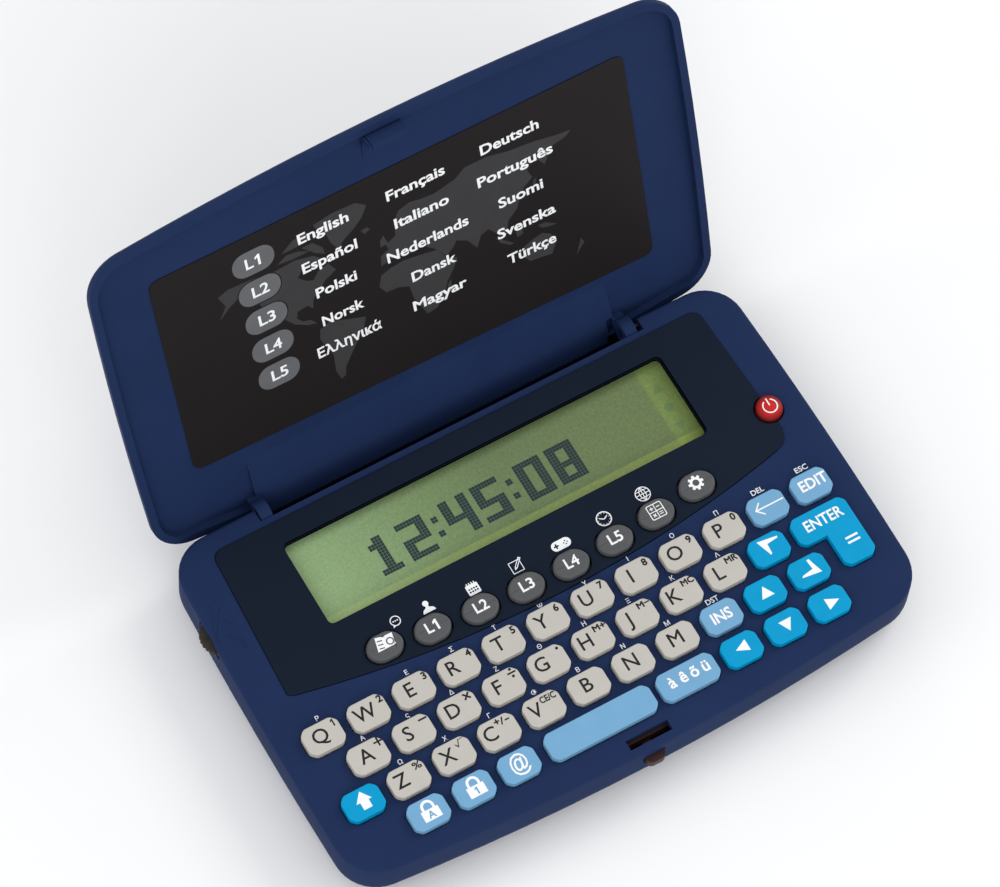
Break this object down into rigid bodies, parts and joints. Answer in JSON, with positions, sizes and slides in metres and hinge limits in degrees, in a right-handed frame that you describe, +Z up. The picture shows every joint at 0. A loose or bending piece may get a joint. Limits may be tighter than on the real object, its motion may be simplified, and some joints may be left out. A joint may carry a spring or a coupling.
{
  "type": "handheld translator",
  "caption": "Pocket electronic translator: a keyboard base with a screen, oval function keys and power button, under a shallow lid on two hinge arms that opens past upright.",
  "frame": {"origin": "middle of the flat underside of the base, under the deck's centre", "axes": "+X along the key rows towards the power button, +Y from the front edge to the hinge, +Z up out of the deck"},
  "size_m": [0.1235, 0.1096, 0.0812],
  "materials": {
    "case_blue": "fine matt moulding, dark blue",
    "panel_navy": "smooth, near-black blue",
    "lcd_green": "flat grey-green screen",
    "black_plastic": "plain black moulding",
    "strip_rubber": "soft pink rubber",
    "board_green": "solder mask",
    "screw_steel": "plated",
    "mat_rubber": "silicone rubber",
    "brass_disc": "thin brass disc",
    "pin_steel": "drawn wire",
    "cell_steel": "nickel plated",
    "contact_metal": "nickel plated spring leaf",
    "spring_steel": "spring wire",
    "card_black": "printed card",
    "wheel_black": "ribbed, worn matt",
    "latch_brown": "dark red-brown moulding",
    "key_grey": "warm light grey",
    "key_pale_blue": "pale blue",
    "key_sky_blue": "bright sky blue",
    "oval_grey": "mid grey",
    "power_red": "red, slightly glossy"
  },
  "bodies": {
    "base": {"upper_case": "case_blue", "lower_case": "case_blue", "display_panel": "panel_navy", "lcd_glass": "lcd_green", "lcd_frame": "black_plastic", "lcd_connector": "strip_rubber", "main_board": "board_green", "board_screws": "screw_steel", "keypad_mat": "mat_rubber", "buzzer": "brass_disc", "wheel_spindle": "black_plastic", "hinge_pins": "pin_steel", "coin_cells": "cell_steel", "battery_contacts": "contact_metal", "case_screws": "screw_steel", "latch_spring": "spring_steel"},
    "lid": {"lid_shell": "case_blue", "lid_card": "card_black"},
    "contrast_wheel": {"contrast_wheel": "wheel_black"},
    "latch": {"latch_button": "latch_brown"},
    "battery_door": {"battery_door": "case_blue"},
    "power_button": {"power_button": "power_red"},
    "key_enter": {"key_enter": "key_sky_blue"},
    "key_space": {"key_space": "key_pale_blue"},
    "key_shift": {"key_shift": "key_sky_blue"},
    "key_delete": {"key_delete": "key_pale_blue"},
    "key_edit": {"key_edit": "key_pale_blue"},
    "key_insert": {"key_insert": "key_pale_blue"},
    "key_page_up": {"key_page_up": "key_sky_blue"},
    "key_page_down": {"key_page_down": "key_sky_blue"},
    "key_up": {"key_up": "key_sky_blue"},
    "key_left": {"key_left": "key_sky_blue"},
    "key_down": {"key_down": "key_sky_blue"},
    "key_right": {"key_right": "key_sky_blue"},
    "key_accents": {"key_accents": "key_pale_blue"},
    "key_at": {"key_at": "key_pale_blue"},
    "key_lock_letters": {"key_lock_letters": "key_pale_blue"},
    "key_lock_digits": {"key_lock_digits": "key_pale_blue"},
    "key_dictionary": {"key_dictionary": "oval_grey"},
    "key_list_1": {"key_list_1": "oval_grey"},
    "key_list_2": {"key_list_2": "oval_grey"},
    "key_list_3": {"key_list_3": "oval_grey"},
    "key_list_4": {"key_list_4": "oval_grey"},
    "key_list_5": {"key_list_5": "oval_grey"},
    "key_calculator": {"key_calculator": "oval_grey"},
    "key_settings": {"key_settings": "oval_grey"},
    "keys_q_w": {"keys_q_w": "key_grey"},
    "keys_e_r": {"keys_e_r": "key_grey"},
    "keys_t_y": {"keys_t_y": "key_grey"},
    "keys_u_i": {"keys_u_i": "key_grey"},
    "keys_o_p": {"keys_o_p": "key_grey"},
    "keys_a_s": {"keys_a_s": "key_grey"},
    "keys_d_f": {"keys_d_f": "key_grey"},
    "keys_g_h": {"keys_g_h": "key_grey"},
    "keys_j_k": {"keys_j_k": "key_grey"},
    "key_l": {"key_l": "key_grey"},
    "keys_z_x": {"keys_z_x": "key_grey"},
    "keys_c_v": {"keys_c_v": "key_grey"},
    "keys_b_n": {"keys_b_n": "key_grey"},
    "key_m": {"key_m": "key_grey"}
  },
  "joints": [
    {"name": "lid_hinge", "type": "hinge", "parent": "base", "child": "lid", "pos_m": [0, 0.03722, 0.01026], "axis": [-1, 0, 0], "range_deg": [-110.53, 8]},
    {"name": "battery_door_slide", "type": "slide", "parent": "base", "child": "battery_door", "axis": [0, 1, 0], "range_m": [0, 0.026]},
    {"name": "contrast_wheel_turn", "type": "hinge", "parent": "base", "child": "contrast_wheel", "pos_m": [-0.0579, 0.0193, 0.01], "axis": [0, 0, 1], "range_deg": [-135, 135]},
    {"name": "latch_button_press", "type": "slide", "parent": "base", "child": "latch", "axis": [0, 1, 0], "range_m": [0, 0.001], "stiffness_N_per_m": 400, "springref_m": -0.0005, "deforming": ["latch_spring"]},
    {"name": "press_power_button", "type": "slide", "parent": "base", "child": "power_button", "axis": [0, 0, -1], "range_m": [0, 0.0007], "stiffness_N_per_m": 600, "springref_m": -0.0003},
    {"name": "press_enter", "type": "slide", "parent": "base", "child": "key_enter", "axis": [0, 0, -1], "range_m": [0, 0.0007], "stiffness_N_per_m": 600, "springref_m": -0.0003},
    {"name": "press_space", "type": "slide", "parent": "base", "child": "key_space", "axis": [0, 0, -1], "range_m": [0, 0.0007], "stiffness_N_per_m": 600, "springref_m": -0.0003},
    {"name": "press_shift", "type": "slide", "parent": "base", "child": "key_shift", "axis": [0, 0, -1], "range_m": [0, 0.0007], "stiffness_N_per_m": 600, "springref_m": -0.0003},
    {"name": "press_delete", "type": "slide", "parent": "base", "child": "key_delete", "axis": [0, 0, -1], "range_m": [0, 0.0007], "stiffness_N_per_m": 600, "springref_m": -0.0003},
    {"name": "press_edit", "type": "slide", "parent": "base", "child": "key_edit", "axis": [0, 0, -1], "range_m": [0, 0.0007], "stiffness_N_per_m": 600, "springref_m": -0.0003},
    {"name": "press_insert", "type": "slide", "parent": "base", "child": "key_insert", "axis": [0, 0, -1], "range_m": [0, 0.0007], "stiffness_N_per_m": 600, "springref_m": -0.0003},
    {"name": "press_page_up", "type": "slide", "parent": "base", "child": "key_page_up", "axis": [0, 0, -1], "range_m": [0, 0.0007], "stiffness_N_per_m": 600, "springref_m": -0.0003},
    {"name": "press_page_down", "type": "slide", "parent": "base", "child": "key_page_down", "axis": [0, 0, -1], "range_m": [0, 0.0007], "stiffness_N_per_m": 600, "springref_m": -0.0003},
    {"name": "press_up", "type": "slide", "parent": "base", "child": "key_up", "axis": [0, 0, -1], "range_m": [0, 0.0007], "stiffness_N_per_m": 600, "springref_m": -0.0003},
    {"name": "press_left", "type": "slide", "parent": "base", "child": "key_left", "axis": [0, 0, -1], "range_m": [0, 0.0007], "stiffness_N_per_m": 600, "springref_m": -0.0003},
    {"name": "press_down", "type": "slide", "parent": "base", "child": "key_down", "axis": [0, 0, -1], "range_m": [0, 0.0007], "stiffness_N_per_m": 600, "springref_m": -0.0003},
    {"name": "press_right", "type": "slide", "parent": "base", "child": "key_right", "axis": [0, 0, -1], "range_m": [0, 0.0007], "stiffness_N_per_m": 600, "springref_m": -0.0003},
    {"name": "press_accents", "type": "slide", "parent": "base", "child": "key_accents", "axis": [0, 0, -1], "range_m": [0, 0.0007], "stiffness_N_per_m": 600, "springref_m": -0.0003},
    {"name": "press_at", "type": "slide", "parent": "base", "child": "key_at", "axis": [0, 0, -1], "range_m": [0, 0.0007], "stiffness_N_per_m": 600, "springref_m": -0.0003},
    {"name": "press_lock_letters", "type": "slide", "parent": "base", "child": "key_lock_letters", "axis": [0, 0, -1], "range_m": [0, 0.0007], "stiffness_N_per_m": 600, "springref_m": -0.0003},
    {"name": "press_lock_digits", "type": "slide", "parent": "base", "child": "key_lock_digits", "axis": [0, 0, -1], "range_m": [0, 0.0007], "stiffness_N_per_m": 600, "springref_m": -0.0003},
    {"name": "press_dictionary", "type": "slide", "parent": "base", "child": "key_dictionary", "axis": [0, 0, -1], "range_m": [0, 0.0007], "stiffness_N_per_m": 600, "springref_m": -0.0003},
    {"name": "press_list_1", "type": "slide", "parent": "base", "child": "key_list_1", "axis": [0, 0, -1], "range_m": [0, 0.0007], "stiffness_N_per_m": 600, "springref_m": -0.0003},
    {"name": "press_list_2", "type": "slide", "parent": "base", "child": "key_list_2", "axis": [0, 0, -1], "range_m": [0, 0.0007], "stiffness_N_per_m": 600, "springref_m": -0.0003},
    {"name": "press_list_3", "type": "slide", "parent": "base", "child": "key_list_3", "axis": [0, 0, -1], "range_m": [0, 0.0007], "stiffness_N_per_m": 600, "springref_m": -0.0003},
    {"name": "press_list_4", "type": "slide", "parent": "base", "child": "key_list_4", "axis": [0, 0, -1], "range_m": [0, 0.0007], "stiffness_N_per_m": 600, "springref_m": -0.0003},
    {"name": "press_list_5", "type": "slide", "parent": "base", "child": "key_list_5", "axis": [0, 0, -1], "range_m": [0, 0.0007], "stiffness_N_per_m": 600, "springref_m": -0.0003},
    {"name": "press_calculator", "type": "slide", "parent": "base", "child": "key_calculator", "axis": [0, 0, -1], "range_m": [0, 0.0007], "stiffness_N_per_m": 600, "springref_m": -0.0003},
    {"name": "press_settings", "type": "slide", "parent": "base", "child": "key_settings", "axis": [0, 0, -1], "range_m": [0, 0.0007], "stiffness_N_per_m": 600, "springref_m": -0.0003},
    {"name": "press_q_w", "type": "slide", "parent": "base", "child": "keys_q_w", "axis": [0, 0, -1], "range_m": [0, 0.0007], "stiffness_N_per_m": 600, "springref_m": -0.0003},
    {"name": "press_e_r", "type": "slide", "parent": "base", "child": "keys_e_r", "axis": [0, 0, -1], "range_m": [0, 0.0007], "stiffness_N_per_m": 600, "springref_m": -0.0003},
    {"name": "press_t_y", "type": "slide", "parent": "base", "child": "keys_t_y", "axis": [0, 0, -1], "range_m": [0, 0.0007], "stiffness_N_per_m": 600, "springref_m": -0.0003},
    {"name": "press_u_i", "type": "slide", "parent": "base", "child": "keys_u_i", "axis": [0, 0, -1], "range_m": [0, 0.0007], "stiffness_N_per_m": 600, "springref_m": -0.0003},
    {"name": "press_o_p", "type": "slide", "parent": "base", "child": "keys_o_p", "axis": [0, 0, -1], "range_m": [0, 0.0007], "stiffness_N_per_m": 600, "springref_m": -0.0003},
    {"name": "press_a_s", "type": "slide", "parent": "base", "child": "keys_a_s", "axis": [0, 0, -1], "range_m": [0, 0.0007], "stiffness_N_per_m": 600, "springref_m": -0.0003},
    {"name": "press_d_f", "type": "slide", "parent": "base", "child": "keys_d_f", "axis": [0, 0, -1], "range_m": [0, 0.0007], "stiffness_N_per_m": 600, "springref_m": -0.0003},
    {"name": "press_g_h", "type": "slide", "parent": "base", "child": "keys_g_h", "axis": [0, 0, -1], "range_m": [0, 0.0007], "stiffness_N_per_m": 600, "springref_m": -0.0003},
    {"name": "press_j_k", "type": "slide", "parent": "base", "child": "keys_j_k", "axis": [0, 0, -1], "range_m": [0, 0.0007], "stiffness_N_per_m": 600, "springref_m": -0.0003},
    {"name": "press_l", "type": "slide", "parent": "base", "child": "key_l", "axis": [0, 0, -1], "range_m": [0, 0.0007], "stiffness_N_per_m": 600, "springref_m": -0.0003},
    {"name": "press_z_x", "type": "slide", "parent": "base", "child": "keys_z_x", "axis": [0, 0, -1], "range_m": [0, 0.0007], "stiffness_N_per_m": 600, "springref_m": -0.0003},
    {"name": "press_c_v", "type": "slide", "parent": "base", "child": "keys_c_v", "axis": [0, 0, -1], "range_m": [0, 0.0007], "stiffness_N_per_m": 600, "springref_m": -0.0003},
    {"name": "press_b_n", "type": "slide", "parent": "base", "child": "keys_b_n", "axis": [0, 0, -1], "range_m": [0, 0.0007], "stiffness_N_per_m": 600, "springref_m": -0.0003},
    {"name": "press_m", "type": "slide", "parent": "base", "child": "key_m", "axis": [0, 0, -1], "range_m": [0, 0.0007], "stiffness_N_per_m": 600, "springref_m": -0.0003}
  ]
}
